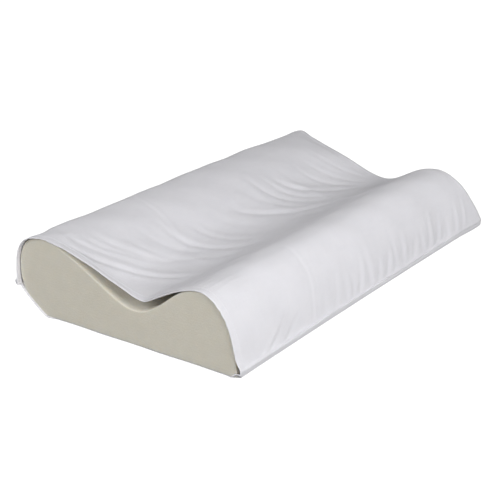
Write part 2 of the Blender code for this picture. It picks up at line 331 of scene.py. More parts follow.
def top_grid():
    """The top cloth before simulation: rows along the pillow, columns along the section."""
    grid = np.zeros((ROWS, COLUMNS, 3))
    for index, x in enumerate(row_positions()):
        near = 1 - smooth_step(x, -0.004, 0.130)
        middle = smooth_step(x, 0.080, 0.300)
        far = smooth_step(x, 0.400, 0.550)
        valley_z = BRIDGE_HEIGHT + BRIDGE_NEAR_RISE * near + BRIDGE_FAR_RISE * far
        valley_y = BRIDGE_Y + BRIDGE_MIDDLE_SHIFT * middle - BRIDGE_FAR_SHIFT * far
        grid[index, :, 0] = x
        grid[index, :, 1:] = seam_spaced(cover_section(valley_y, valley_z, near), COLUMNS)
    draw_in_front(grid)
    lie_on_front(grid)
    draw_in_seam(grid, *TOP_FULLNESS)
    return set_open_edge(grid, top_overhang)


def under_grid():
    """The bottom cloth, in the same rows."""
    grid = np.zeros((ROWS, UNDER_COLUMNS, 3))
    for index, x in enumerate(row_positions()):
        straightness = 1 - smooth_step(x, -0.001, 0.012)
        grid[index, :, 0] = x
        grid[index, :, 1:] = seam_spaced(under_section(straightness), UNDER_COLUMNS)
    draw_in_front(grid)
    draw_in_seam(grid, *UNDER_FULLNESS)
    corner = hill(grid[..., 1], -0.001, 0.0060) * (1 - smooth_step(grid[..., 2], -0.001, 0.006))
    curl = corner * (1 - smooth_step(grid[..., 0], -0.0045, 0.0010))
    grid[..., 2] += CORNER_CURL * curl
    return set_open_edge(grid, under_overhang)


def closed_reach(y, z, side):
    """How far past the foam the closed end lies: little between the lobes, far at its corners."""
    if side == "under":
        return UNDER_REACH + UNDER_FRONT_REACH * smooth_step(-y, -0.330, 0.0)
    front = (1 - smooth_step(y, 0.040, 0.060)) * np.clip((0.0905 - z) / 0.0845, 0, 1) ** 1.1
    peak = hill(y, 0.298, 0.020) * smooth_step(z, 0.070, 0.095)
    back = smooth_step(y, 0.290, 0.322)
    low = np.clip((0.085 - z) / 0.050, 0, 1)
    slope = smooth_step(y, 0.190, 0.290)
    lobes = FRONT_REACH * front + SLOPE_REACH * slope * (1 - back) + PEAK_REACH * peak
    return LEAST_REACH + lobes + back * (BACK_REACH + LOW_BACK_REACH * low)


def pull_in_closed_end(grid, side):
    """Past the foam the cloth draws in and bends down between its corners, which stick out as ears."""
    y, z = grid[-1, :, 1], grid[-1, :, 2]
    wanted = closed_reach(y, z, side)
    before = grid[:, :, 0]
    fade = smooth_step(before, FOAM_LENGTH - 0.032, FOAM_LENGTH + FAR_REACH)
    grid[..., 0] = before - fade * (FAR_REACH - wanted)[None, :]
    x, y, z = grid[..., 0], grid[..., 1], grid[..., 2]
    past = smooth_step(x, FOAM_LENGTH - 0.016, FOAM_LENGTH + 0.004)
    small_crest = hill(y, 0.052, 0.034) * smooth_step(z, 0.055, 0.080)
    slope = hill(y, 0.245, 0.032) * smooth_step(z, 0.040, 0.060)
    large_crest = hill(y, 0.285, 0.030) * smooth_step(z, 0.075, 0.095)
    easing = smooth_step(x, FOAM_LENGTH - 0.110, FOAM_LENGTH - 0.030)
    grid[..., 2] -= past * END_DROP * (small_crest + slope)
    grid[..., 2] -= easing * CREST_DROP * (small_crest + large_crest)
    low_front = (1 - smooth_step(z, 0.010, 0.050)) * (y < 0.1)
    flare = smooth_step(x, FOAM_LENGTH - 0.020, FOAM_LENGTH + 0.030) * low_front
    grid[..., 1] -= CORNER_FLARE * flare
    return grid


def panel_normals(grid):
    """Unit normals of a grid, which point out of the cover on the top cloth."""
    along = np.gradient(grid, axis=0)
    across = np.gradient(grid, axis=1)
    normal = np.cross(along, across)
    return normal / (np.linalg.norm(normal, axis=-1, keepdims=True) + 1e-12)


def to_world(points):
    return points + np.array(FOAM_LOW)


# ---------------------------------------------------------------- folds of the top cloth
# Each drag fold is (x at its top, y at its top, x in the valley, y in the valley, bend, half width,
# depth), in millimetres: it runs down the large lobe, then sweeps along the valley to the closed end.
DRAG_FOLDS = (
    (26, 268, 60, 196, 1.6, 4.5, 0.4),
    (8, 262, 88, 130, 1.6, 6.5, 1.2),
    (42, 262, 84, 188, 1.7, 5.0, 0.5),
    (58, 262, 108, 174, 2.0, 7.5, 0.8),
    (92, 228, 172, 131, 1.8, 8.0, 0.6),
    (120, 240, 166, 160, 2.0, 6.0, 0.3),
    (155, 230, 214, 131, 2.6, 7.5, 0.9),
    (196, 212, 232, 144, 2.0, 7.0, 0.5),
    (240, 226, 300, 146, 1.8, 12.1, 0.4),
    (285, 206, 418, 124, 1.4, 7.7, 1.1),
    (330, 232, 382, 154, 1.9, 8.8, 0.4),
    (358, 240, 402, 160, 2.2, 6.6, 0.7),
    (384, 234, 430, 154, 2.2, 5.5, 0.5),
    (404, 222, 492, 143, 1.7, 7.2, 1.1),
    (462, 224, 506, 146, 2.0, 6.1, 0.7),
    (488, 228, 522, 146, 1.8, 5.5, 0.5),
    (516, 236, 538, 156, 1.7, 5.0, 0.4),
)


def fold_height(x, y):
    """Height of the drag folds."""
    height = np.zeros_like(x)
    for top_x, top_y, low_x, low_y, bend, width, depth in DRAG_FOLDS:
        drop = (top_y - low_y) / 1000
        sweep = (low_x - top_x) / 1000
        down = (top_y / 1000 - y) / drop
        inside = np.clip(down, 0, 1.15)
        middle = top_x / 1000 + sweep * inside**bend
        lean = sweep * bend * np.maximum(inside, 0.02) ** (bend - 1) / drop
        aside = (x - middle) / np.sqrt(1 + lean**2) / (width / 1000)
        ends = smooth_step(down, -0.20, 0.30) * (1 - smooth_step(down, 0.82, 1.12))
        banks = 0.75 * hill(aside, 1.25, 1.0) + 0.45 * hill(aside, -1.35, 0.9)
        ridge = banks - 1.0 * hill(aside, 0, 0.62)
        height += depth / 1000 * ends * ridge
    return height


# Each upright fold of the front face: its place along the pillow, half width and depth, in millimetres.
FRONT_FOLDS = (
    (186, 8, 0.4), (212, 7, 0.6), (236, 7, 0.9), (252, 6, 0.8), (269, 6, 1.1), (293, 8, 1.3),
    (317, 7, 1.5), (341, 7, 1.5), (360, 6, 0.8), (381, 7, 1.2), (413, 8, 1.1), (434, 6, 0.7),
    (456, 7, 1.3), (482, 7, 1.3), (508, 7, 0.9), (528, 6, 1.1), (548, 6, 0.7),
)


CORNER_CREASE_DEPTH = 0.0010
CREST_CREASE_DEPTH = 0.00042
CREST_CREASE_PITCH = 0.0078
SHELF_CREASE_X = 0.176
SHELF_CREASE_BANK = 0.00025
SHELF_CREASE_DEPTH = 0.0004
RIPPLE_HEIGHT = 0.00030


def front_drape(x, z):
    """Soft upright folds on the front face, deepest low down, that lean a little as they rise."""
    height = np.zeros_like(x)
    for index, (place, width, depth) in enumerate(FRONT_FOLDS):
        lean = 0.14 * math.sin(index * 2.1) + 0.05
        aside = (x - place / 1000 - lean * (z - 0.020)) / (width / 1000)
        top = 0.058 + 0.014 * math.sin(index * 1.7)
        rise = smooth_step(z, 0.006, 0.018) * (1 - smooth_step(z, 0.020, top))
        height += depth / 1000 * rise * (0.8 * hill(aside, 0.7, 0.75) - 0.8 * hill(aside, -0.55, 0.55))
    return height


def corner_creases(x, z):
    """Short slanting creases low on the front face beside the open end."""
    slant = x - 0.052 - (z - 0.010) * 1.3
    first = hill(slant, 0.0, 0.0065) - 0.8 * hill(slant, 0.011, 0.0055)
    second = 0.7 * hill(slant, 0.034, 0.007) - 0.6 * hill(slant, 0.045, 0.006)
    low = (1 - smooth_step(z, 0.014, 0.048)) * smooth_step(z, 0.004, 0.012)
    return CORNER_CREASE_DEPTH * (first + second) * low


def crest_creases(x, y):
    """Fine creases across the small lobe's crest, near the open end."""
    place = y + 0.05 * x + 0.0016 * np.sin(x * 90.0)
    phase = 2 * math.pi * place / CREST_CREASE_PITCH
    zone = smooth_step(x, 0.004, 0.020) * (1 - smooth_step(x, 0.045, 0.085))
    zone = zone * smooth_step(y, 0.030, 0.045) * (1 - smooth_step(y, 0.085, 0.105))
    return CREST_CREASE_DEPTH * np.sin(phase) * zone


def shelf_crease(x, y, z):
    """The faint crease that folding flat for the shelf left across the whole cover."""
    slant = 0.16 * (0.290 - np.maximum(y, 0.2)) + 0.12 * (0.060 - z) * (y < 0.1)
    line = x - SHELF_CREASE_X + slant
    wander = 0.0012 * np.sin(y * 45.0 + z * 70.0)
    shown = smooth_step(y, 0.200, 0.235) + (1 - smooth_step(y, 0.040, 0.070))
    bank = SHELF_CREASE_BANK * hill(line + wander, 0.0045, 0.0035)
    return shown * (bank - SHELF_CREASE_DEPTH * hill(line + wander, 0, 0.0026))


def soft_ripple(x, y):
    """Broad, barely visible unevenness of cloth that lies on foam."""
    return RIPPLE_HEIGHT * (
        np.sin(x * 47.0 + 3.0 * np.sin(y * 19.0))
        + np.sin(y * 61.0 + 2.0 * np.sin(x * 23.0 + 1.0))
        + np.sin((x + y) * 83.0 + 1.7)
    )


def add_folds(grid):
    """Moves the top cloth along its normal by all its folds."""
    x, y, z = grid[..., 0], grid[..., 1], grid[..., 2]
    normal = panel_normals(grid)
    front = 1 - smooth_step(y, 0.020, 0.045)
    height = fold_height(x, y) + crest_creases(x, y) + shelf_crease(x, y, z) + soft_ripple(x, y)
    height += front * (front_drape(x, z) + corner_creases(x, z))
    edge = smooth_step(z, 0.004, 0.012)
    hem = smooth_step(x, -NOMINAL_OVERHANG, 0.016)
    closed = 1 - smooth_step(x, FOAM_LENGTH - 0.004, FOAM_LENGTH + FAR_REACH)
    return grid + normal * (height * edge * hem * closed)[..., None]


def broad_press(x):
    """How far the foam is pressed down towards its closed end, over its last 120 mm."""
    return BROAD_PRESS * smooth_step(x, FOAM_LENGTH - 0.120, FOAM_LENGTH - 0.030)


def keep_off_foam(grid, gap):
    """Pushes out whatever lies closer to the foam's sides than the gap, up to the foam's closed end."""
    outline = even(foam_section(), 900)
    along = np.gradient(outline, axis=0)
    outward = np.stack([-along[:, 1], along[:, 0]], axis=1)
    outward /= np.linalg.norm(outward, axis=1, keepdims=True)
    moved = grid.copy()
    for row in range(grid.shape[0]):
        here = grid[row, :, 1:]
        apart = here[:, None, :] - outline[None, :, :]
        nearest = np.argmin((apart**2).sum(axis=2), axis=1)
        height = ((here - outline[nearest]) * outward[nearest]).sum(axis=1)
        x = grid[row, :, 0]
        past = np.clip((x - FOAM_LENGTH + CLOSED_PRESS_LENGTH) / CLOSED_PRESS_LENGTH, 0, 1)
        pressed = CLOSED_PRESS * past**2
        pressed += broad_press(x)
        wanted = gap(x) - pressed
        beside = (here[:, 1] > 0.001) & (x < FOAM_LENGTH + 0.0015)
        push = np.where(beside, np.maximum(wanted - height, 0), 0)
        moved[row, :, 1:] += outward[nearest] * push[:, None]
    return moved


def cloth_gap(x):
    """Distance of the top cloth from the foam: more where its hem lies between the two."""
    over_hem = HEM_LIFT * (1 - smooth_step(x, 0.004, 0.020))
    return CLOTH_GAP + over_hem - 0.0003 * smooth_step(x, 0.50, 0.55)


# ---------------------------------------------------------------- simulation of the sewn cover
def end_grid(top, under):
    """The end panel: rows from the top cloth's end down to the bottom cloth's, bowed inwards."""
    upper = top[-1]
    share = np.linspace(0, under.shape[1] - 1, COLUMNS)
    numbers = np.arange(under.shape[1])
    lower = np.stack([np.interp(share, numbers, under[-1, :, k]) for k in range(3)], axis=1)
    share = np.linspace(0, 1, END_ROWS)[:, None, None]
    grid = upper[None] * (1 - share) + lower[None] * share
    across = np.linspace(0, 1, COLUMNS)[None]
    dent = 4 * share[..., 0] * (1 - share[..., 0]) * np.sin(math.pi * across) ** 0.7
    grid[..., 0] -= END_PANEL_DENT * dent
    return grid


def sheet_faces(index):
    """Quads over a grid of vertex numbers, leaving out corners that are the same vertex."""
    faces = []
    rows, columns = index.shape
    for i in range(rows - 1):
        for j in range(columns - 1):
            ring = [index[i, j], index[i, j + 1], index[i + 1, j + 1], index[i + 1, j]]
            unique = list(dict.fromkeys(int(v) for v in ring))
            if len(unique) > 2:
                faces.append(unique)
    return faces


def sewn_cover(top, end):
    """One set of points for the top cloth and the end panel, and each one's vertex numbers."""
    top_index = np.arange(top.shape[0] * top.shape[1]).reshape(top.shape[:2])
    end_index = np.zeros(end.shape[:2], int)
    end_index[0] = top_index[-1]
    end_index[:, 0] = top_index[-1, 0]
    end_index[:, -1] = top_index[-1, -1]
    body = end[1:, 1:-1]
    end_index[1:, 1:-1] = top_index.size + np.arange(body[..., 0].size).reshape(body.shape[:2])
    return np.vstack([top.reshape(-1, 3), body.reshape(-1, 3)]), top_index, end_index


def new_object(name, points, faces):
    mesh = bpy.data.meshes.new(name)
    mesh.from_pydata(points.tolist(), [], faces)
    mesh.update()
    mesh.shade_smooth()
    obj = bpy.data.objects.new(name, mesh)
    bpy.context.scene.collection.objects.link(obj)
    return obj


def drape(points, faces, held, foam):
    """How far each point moves as the cloth settles on the foam. held is 0 where free, 1 where fast."""
    cloth = new_object("cover_in_simulation", points, faces)
    group = cloth.vertex_groups.new(name="held")
    for level in np.unique(np.round(held, 1)):
        chosen = np.nonzero(np.round(held, 1) == level)[0].tolist()
        group.add(chosen, float(level), "REPLACE")
    foam.modifiers.new("touch", "COLLISION")
    foam.collision.thickness_outer = SIM_TOUCH
    foam.collision.cloth_friction = 8
    modifier = cloth.modifiers.new("cloth", "CLOTH")
    settings = modifier.settings
    settings.quality = 5
    settings.mass = 0.15
    settings.tension_stiffness = 25
    settings.compression_stiffness = 8
    settings.shear_stiffness = 8
    settings.bending_stiffness = 0.6
    settings.air_damping = 2
    settings.vertex_group_mass = "held"
    settings.pin_stiffness = 1.0
    settings.shrink_min = -0.004
    modifier.collision_settings.use_collision = True
    modifier.collision_settings.distance_min = SIM_TOUCH
    modifier.collision_settings.use_self_collision = False
    modifier.point_cache.frame_start = 1
    modifier.point_cache.frame_end = SIM_FRAMES
    scene = bpy.context.scene
    for step in range(1, SIM_FRAMES + 1):
        scene.frame_set(step)
    shaped = cloth.evaluated_get(bpy.context.evaluated_depsgraph_get())
    settled = np.zeros(len(points) * 3, np.float32)
    shaped.data.vertices.foreach_get("co", settled)
    settled = settled.reshape(-1, 3).astype(float)
    scene.frame_set(1)
    bpy.data.objects.remove(cloth)
    foam.modifiers.remove(foam.modifiers["touch"])
    moved = settled - points
    size = np.linalg.norm(moved, axis=1, keepdims=True)
    return moved * np.minimum(1, SIM_CAP / np.maximum(size, 1e-9))


def evened(change, passes):
    """The displacements with their finest ripples smoothed away, and the sewn edges left as they are."""
    for _ in range(passes):
        inner = change[1:-1, 1:-1]
        around = change[:-2, 1:-1] + change[2:, 1:-1] + change[1:-1, :-2] + change[1:-1, 2:]
        change = change.copy()
        change[1:-1, 1:-1] = 0.5 * inner + 0.125 * around
    return change


def finer(coarse):
    """A grid with a new row between each two, on a smooth curve through four neighbours."""
    padded = np.concatenate([coarse[:1], coarse, coarse[-1:]])
    between = (9 * (coarse[:-1] + coarse[1:]) - padded[:-3] - padded[3:]) / 16
    fine = np.zeros((2 * len(coarse) - 1, *coarse.shape[1:]))
    fine[::2] = coarse
    fine[1::2] = between
    return fine


def settle(top, end, foam):
    """The top cloth and the end panel after simulation, which runs on every second row and column."""
    coarse = [grid[::SIM_STEP, ::SIM_STEP] for grid in (top, end)]
    points, top_index, end_index = sewn_cover(*coarse)
    held = np.zeros(len(points))
    held[top_index[:, SEWN_COLUMNS].ravel()] = 1.0
    held[top_index[0]] = OPEN_EDGE_HELD
    held[top_index[-1]] = END_SEAM_HELD
    held[end_index[-1]] = 1.0
    faces = sheet_faces(top_index) + sheet_faces(end_index)
    moved = drape(to_world(points), faces, held, foam)
    sewn = 1 - smooth_step(coarse[0][..., 0], FOAM_LENGTH - 0.090, FOAM_LENGTH - 0.015)
    down, across = (np.sin(math.pi * np.linspace(0, 1, count)) for count in end_index.shape)
    weights = (sewn, np.minimum(1, 3 * np.abs(down[:, None] * across[None])))
    grown = []
    for grid, index, weight in zip((top, end), (top_index, end_index), weights):
        moved_here = moved[index] * weight[..., None]
        change = finer(finer(evened(moved_here, SIM_SMOOTHING)).swapaxes(0, 1)).swapaxes(0, 1)
        grown.append(grid + change)
    return grown


# ---------------------------------------------------------------- pieces
def make_foam():
    """The foam block, with eased edges, and its closed end's top edge pressed round by the cover."""
    outline = even(foam_section(), 240)
    columns = len(outline)
    eased = [0.0, FOAM_END_EASE_LENGTH / 3, FOAM_END_EASE_LENGTH]
    even_run = np.linspace(0.010, FOAM_LENGTH - 0.030, 60)
    closing = FOAM_LENGTH - np.array([CLOSED_PRESS_LENGTH, 0.016, 0.011, 0.007, 0.004, 0.0015, 0.0])
    xs = np.concatenate([eased, even_run, closing])
    along = np.gradient(outline, axis=0)
    inward = np.stack([along[:, 1], -along[:, 0]], axis=1)
    inward /= np.linalg.norm(inward, axis=1, keepdims=True)
    rings = []
    for x in xs:
        near = FOAM_END_EASE * (1 - np.clip(x / FOAM_END_EASE_LENGTH, 0, 1)) ** 2
        past = np.clip((x - FOAM_LENGTH + CLOSED_PRESS_LENGTH) / CLOSED_PRESS_LENGTH, 0, 1)
        inset = near + CLOSED_PRESS * past**2.0 + broad_press(x)
        above = smooth_step(outline[:, 1], 0.0, 0.010)[:, None]
        ring = outline + inward * inset * above
        rings.append(np.column_stack([np.full(columns, x), ring]))
    step_in = np.column_stack([np.zeros(columns), inward * FOAM_CAP_RIM])
    rings = [rings[0] + step_in, *rings, rings[-1] + step_in]
    points = to_world(np.array(rings))
    rows = len(rings)
    faces = []
    for i in range(rows - 1):
        for j in range(columns):
            k = (j + 1) % columns
            here, ahead = i * columns, (i + 1) * columns
            faces.append((here + j, ahead + j, ahead + k, here + k))
    faces.append(tuple(range(columns)))
    faces.append(tuple(reversed(range((rows - 1) * columns, rows * columns))))
    foam = new_object("foam_block", points.reshape(-1, 3), faces)
    work = bmesh.new()
    work.from_mesh(foam.data)
    bmesh.ops.recalc_face_normals(work, faces=work.faces)
    caps = [f for f in work.faces if len(f.verts) > 4]
    bmesh.ops.triangulate(work, faces=caps)
    work.to_mesh(foam.data)
    work.free()
    foam.data.set_sharp_from_angle(angle=math.radians(50))
    return foam


def cloth_piece(name, grid, material, flip=False):
    """A panel as its own mesh, with the cloth's thickness, and a UV layer that measures it in metres."""
    rows, columns = grid.shape[:2]
    index = np.arange(rows * columns).reshape(rows, columns)
    faces = sheet_faces(index)
    if flip:
        faces = [list(reversed(f)) for f in faces]
    obj = new_object(name, to_world(grid.reshape(-1, 3)), faces)
    layer = obj.data.uv_layers.new(name="cloth")
    across = running_length(grid[rows // 2])
    along = running_length(grid[:, columns // 2])
    loops = np.zeros(len(obj.data.loops), np.int32)
    obj.data.loops.foreach_get("vertex_index", loops)
    uv = np.stack([along[loops // columns], across[loops % columns]], axis=1)
    layer.data.foreach_set("uv", uv.astype(np.float32).ravel())
    solid = obj.modifiers.new("cloth_thickness", "SOLIDIFY")
    solid.thickness = CLOTH
    solid.offset = 0
    obj.data.materials.append(material)
    return obj


def with_hem(grid, inner_side):
    """The grid with its open edge folded to the inner side and laid flat there as a narrow hem."""
    normal = panel_normals(grid) * inner_side
    gap = CLOTH + HEM_INNER_GAP
    rows = [grid[k] + normal[k] * gap for k in range(HEM_ROWS - 1, -1, -1)]
    middle = grid[0] + normal[0] * gap / 2
    for turn in (-60, -20, 20, 60):
        angle = math.radians(turn)
        out = np.array((-1.0, 0, 0)) * gap * HEM_ROUNDNESS * math.cos(angle)
        rows.append(middle + out - normal[0] * gap / 2 * math.sin(angle))
    return np.concatenate([np.array(rows), grid], axis=0)


# The rolled lip's section: how far out and up from the back seam each of its points stands, in metres.
BACK_LIP = (
    (0.0012, 0.0006), (0.0026, 0.0022), (0.0036, 0.0042), (0.0038, 0.0060), (0.0030, 0.0073),
    (0.0018, 0.0073), (0.0012, 0.0061), (0.0013, 0.0046), (0.0019, 0.0032),
)
LIP_SEAM_POINT = 1
LIP_FACING = np.array((0, 0.83, -0.55))


def with_back_lip(grid):
    """The bottom cloth with its back edge carried past the seam into a rolled lip."""
    seam = grid[:, -1]
    x = grid[:, -1, 0]
    wave = 1 + 0.12 * np.sin(x * 61.0) + 0.08 * np.sin(x * 147.0 + 1.0)
    columns = [grid]
    for out, up in BACK_LIP:
        shift = np.stack([np.zeros_like(x), out * wave, up * wave], axis=1)
        columns.append((seam + shift)[:, None])
    return np.concatenate(columns, axis=1)


# The blank label's path from the back seam down to its loose end.
LABEL_INSET = 0.0012
LABEL_BELOW_SEAM = 0.0012
LABEL_OUT_OF_SEAM = 0.0014
LABEL_SEAM_HEADING = math.radians(-20)
LABEL_SEAM_HANDLE = 0.0035
LABEL_HANDLE = 0.006
LABEL_FULLEST = 0.003
LABEL_CURL = 0.0022
LABEL_CURL_HEADING = math.radians(-108)
LABEL_END_LIFT = 0.001
LABEL_WAVE = 0.0009
LABEL_ROWS = 25
LABEL_COLUMNS = 33


def label_grid():
    """The blank label: it leaves the back seam under the lip, hangs, and curls in at its loose end."""
    low = np.array(LABEL_LOW - FOAM_LOW)
    high = np.array(LABEL_HIGH - FOAM_LOW)
    start = (BACK_SEAM[0] + LABEL_OUT_OF_SEAM, BACK_SEAM[1] - LABEL_BELOW_SEAM)
    outer = high[1] - LABEL_INSET
    middle = (low[2] + high[2]) / 2 + LABEL_FULLEST
    path = bezier([
        knot(*start, LABEL_SEAM_HEADING, 0, LABEL_SEAM_HANDLE),
        knot(outer, middle, -UP, LABEL_HANDLE, LABEL_HANDLE),
        knot(outer - LABEL_CURL, low[2] + LABEL_END_LIFT, LABEL_CURL_HEADING, LABEL_HANDLE, 0),
    ])
    path = even(path, LABEL_COLUMNS)
    rows = np.linspace(low[0], high[0], LABEL_ROWS)
    grid = np.zeros((len(rows), len(path), 3))
    grid[..., 0] = rows[:, None]
    grid[..., 1:] = path[None]
    down = np.linspace(0, 1, len(path))[None]
    grid[..., 1] += LABEL_WAVE * down * np.sin((rows[:, None] - low[0]) * 150.0)
    return grid


# One stitch: its profile is (distance from its middle as a share of its length, share of its radius).
STITCH_PITCH = 0.0032
STITCH_LENGTH = STITCH_PITCH * 0.782
STITCH_RADIUS = 0.00028
STITCH_LIFT = 0.0004
STITCH_DIP = STITCH_RADIUS * 1.1
STITCH_TIP = 0.25
STITCH_SIDES = 6
STITCH_PROFILE = ((-0.5, 0.0), (-0.42, 0.7), (-0.15, 1.0), (0.15, 1.0), (0.42, 0.7), (0.5, 0.0))


def at_length(run, points, length):
    """The place on the line at this length along it."""
    return np.array([np.interp(length, run, points[:, c]) for c in range(3)])


def stitch_row(name, points, normals, material):
    """A row of lockstitches: short rounded strands laid on the cloth along the points."""
    run = running_length(points)
    verts, faces = [], []
    for k in range(int(run[-1] / STITCH_PITCH)):
        at = (k + 0.5) * STITCH_PITCH
        place = at_length(run, points, at)
        up = at_length(run, normals, at)
        up /= np.linalg.norm(up)
        along = at_length(run, points, min(at + STITCH_PITCH / 2, run[-1])) - place
        along /= np.linalg.norm(along) + 1e-12
        side = np.cross(up, along)
        base = len(verts)
        for reach, width in STITCH_PROFILE:
            middle = place + along * reach * STITCH_LENGTH
            middle = middle + up * (STITCH_LIFT - STITCH_DIP * (1 - width))
            radius = STITCH_RADIUS * max(width, STITCH_TIP)
            for s in range(STITCH_SIDES):
                a = 2 * math.pi * s / STITCH_SIDES
                verts.append(middle + (side * math.cos(a) + up * math.sin(a)) * radius)
        last = base + (len(STITCH_PROFILE) - 1) * STITCH_SIDES
        for ring in range(base, last, STITCH_SIDES):
            for s in range(STITCH_SIDES):
                n = (s + 1) % STITCH_SIDES
                faces.append((ring + s, ring + n, ring + STITCH_SIDES + n, ring + STITCH_SIDES + s))
        faces.append(tuple(base + s for s in reversed(range(STITCH_SIDES))))
        faces.append(tuple(last + s for s in range(STITCH_SIDES)))
    obj = new_object(name, np.array(verts), faces)
    obj.data.materials.append(material)
    return obj


def sew(top_cloth, under_cloth, material):
    """Every row of stitches, by the CAD thread that it stands for."""
    top_normals = panel_normals(top_cloth)
    under_normals = panel_normals(under_cloth)
    across = slice(SEAM_COLUMNS, -SEAM_COLUMNS)
    along = slice(1, -1)
    inner_hem = under_cloth[HEM_STITCH_ROW] + under_normals[HEM_STITCH_ROW] * HEM_LIFT
    lip_line = under_cloth[along, -1] + np.array((0, *BACK_LIP[LIP_SEAM_POINT]))
    lip_normals = np.tile(LIP_FACING, (len(lip_line), 1))
    hem_top = (top_cloth[HEM_STITCH_ROW, across], top_normals[HEM_STITCH_ROW, across])
    hem_bottom = (inner_hem[across], under_normals[HEM_STITCH_ROW, across])
    front_seam = (top_cloth[along, SEAM_COLUMNS], top_normals[along, SEAM_COLUMNS])
    end_seam = (top_cloth[END_STITCH_ROW, across], top_normals[END_STITCH_ROW, across])
    rows = (
        ("hem_thread_top", "hem_stitches_top", hem_top),
        ("hem_thread_bottom", "hem_stitches_bottom", hem_bottom),
        ("front_seam_thread", "front_seam_stitches", front_seam),
        ("back_seam_thread", "back_seam_stitches", (lip_line, lip_normals)),
        ("end_seam_thread", "closed_end_stitches", end_seam),
    )
    return {
        cad_thread: stitch_row(name, to_world(points), normals, material)
        for cad_thread, name, (points, normals) in rows
    }


# ---------------------------------------------------------------- materials
def principled(name, colour, roughness):
    """A new material with its shader, its nodes and a helper that links two sockets."""
    material = bpy.data.materials.new(name)
    material.use_nodes = True
    tree = material.node_tree
    shader = tree.nodes["Principled BSDF"]
    shader.inputs["Base Color"].default_value = (*colour, 1)
    shader.inputs["Roughness"].default_value = roughness
    shader.inputs["Metallic"].default_value = 0
    return material, shader, tree.nodes, tree.links.new


def node(nodes, kind, **values):
    made = nodes.new(kind)
    for name, value in values.items():
        if name in made.inputs:
            made.inputs[name].default_value = value
        else:
            setattr(made, name, value)
    return made


def scaled(nodes, link, source, scale):
    """The source coordinates multiplied by (x, y, z)."""
    mapping = nodes.new("ShaderNodeMapping")
    mapping.inputs["Scale"].default_value = scale
    link(source, mapping.inputs["Vector"])
    return mapping.outputs["Vector"]


def noise_of(nodes, link, vector, scale, detail=3.0, rough=0.5):
    texture = nodes.new("ShaderNodeTexNoise")
    texture.inputs["Scale"].default_value = scale
    texture.inputs["Detail"].default_value = detail
    texture.inputs["Roughness"].default_value = rough
    link(vector, texture.inputs["Vector"])
    return texture.outputs["Fac"]


def wave_of(nodes, link, vector, axis, pitch, distortion=0.0):
    """A band pattern across the axis, with one band in each pitch."""
    texture = nodes.new("ShaderNodeTexWave")
    texture.wave_type = "BANDS"
    texture.bands_direction = axis
    texture.inputs["Scale"].default_value = 2 * math.pi / 20 / pitch
    texture.inputs["Distortion"].default_value = distortion
    texture.inputs["Detail"].default_value = 1.0
    link(vector, texture.inputs["Vector"])
    return texture.outputs["Fac"]


def maths(nodes, link, operation, a, b):
    made = nodes.new("ShaderNodeMath")
    made.operation = operation
    for socket, value in zip(made.inputs, (a, b)):
        if isinstance(value, (int, float)):
            socket.default_value = value
        else:
            link(value, socket)
    return made.outputs[0]


def ramp_of(nodes, link, value, low, high):
    """A colour that runs from low to high as the value runs from 0 to 1."""
    ramp = nodes.new("ShaderNodeValToRGB")
    ramp.color_ramp.elements[0].color = (*low, 1)
    ramp.color_ramp.elements[1].color = (*high, 1)
    ramp.color_ramp.elements[0].position = 0.3
    ramp.color_ramp.elements[1].position = 0.7
    link(value, ramp.inputs["Fac"])
    return ramp.outputs["Color"]


def bump(nodes, link, height, distance, strength, normal=None):
    made = nodes.new("ShaderNodeBump")
    made.inputs["Distance"].default_value = distance
    made.inputs["Strength"].default_value = strength
    link(height, made.inputs["Height"])
    if normal is not None:
        link(normal, made.inputs["Normal"])
    return made.outputs["Normal"]


THREAD_PITCH = 0.00050


def cotton_material():
    """White plain-weave cotton: warp and weft, thicker slubs, and the unevenness of bleached cloth."""
    material, shader, nodes, link = principled("white_cotton_weave", (0.83, 0.835, 0.865), 0.9)
    cloth = node(nodes, "ShaderNodeUVMap", uv_map="cloth").outputs["UV"]
    warp = wave_of(nodes, link, cloth, "X", THREAD_PITCH)
    weft = wave_of(nodes, link, cloth, "Y", THREAD_PITCH * 1.15)
    over = maths(nodes, link, "MULTIPLY", warp, weft)
    slub_long = noise_of(nodes, link, scaled(nodes, link, cloth, (45, 1400, 1)), 1.0, 2.0)
    slub_cross = noise_of(nodes, link, scaled(nodes, link, cloth, (1400, 45, 1)), 1.0, 2.0)
    slubs = maths(nodes, link, "ADD", slub_long, slub_cross)
    height = maths(nodes, link, "ADD", over, maths(nodes, link, "MULTIPLY", slubs, 0.8))
    place = nodes.new("ShaderNodeTexCoord").outputs["Object"]
    broad = noise_of(nodes, link, place, 26.0, 4.0, 0.6)
    slub_tone = maths(nodes, link, "MULTIPLY", slubs, 0.30)
    broad_tone = maths(nodes, link, "MULTIPLY", broad, 0.7)
    tone = maths(nodes, link, "ADD", slub_tone, broad_tone)
    tone = maths(nodes, link, "MULTIPLY", tone, 0.8)
    colour = ramp_of(nodes, link, tone, (0.800, 0.789, 0.832), (0.858, 0.846, 0.886))
    link(colour, shader.inputs["Base Color"])
    crinkle = noise_of(nodes, link, place, 210.0, 3.0, 0.55)
    normal = bump(nodes, link, crinkle, 0.0006, 0.36)
    normal = bump(nodes, link, height, 0.00014, 0.60, normal)
    link(normal, shader.inputs["Normal"])
    shader.inputs["Sheen Weight"].default_value = 0.10
    shader.inputs["Sheen Roughness"].default_value = 0.5
    shader.inputs["Specular IOR Level"].default_value = 0.25
    shader.inputs["Subsurface Weight"].default_value = 0.30
    shader.inputs["Subsurface Radius"].default_value = (1.0, 0.95, 0.9)
    shader.inputs["Subsurface Scale"].default_value = 0.0025
    return material


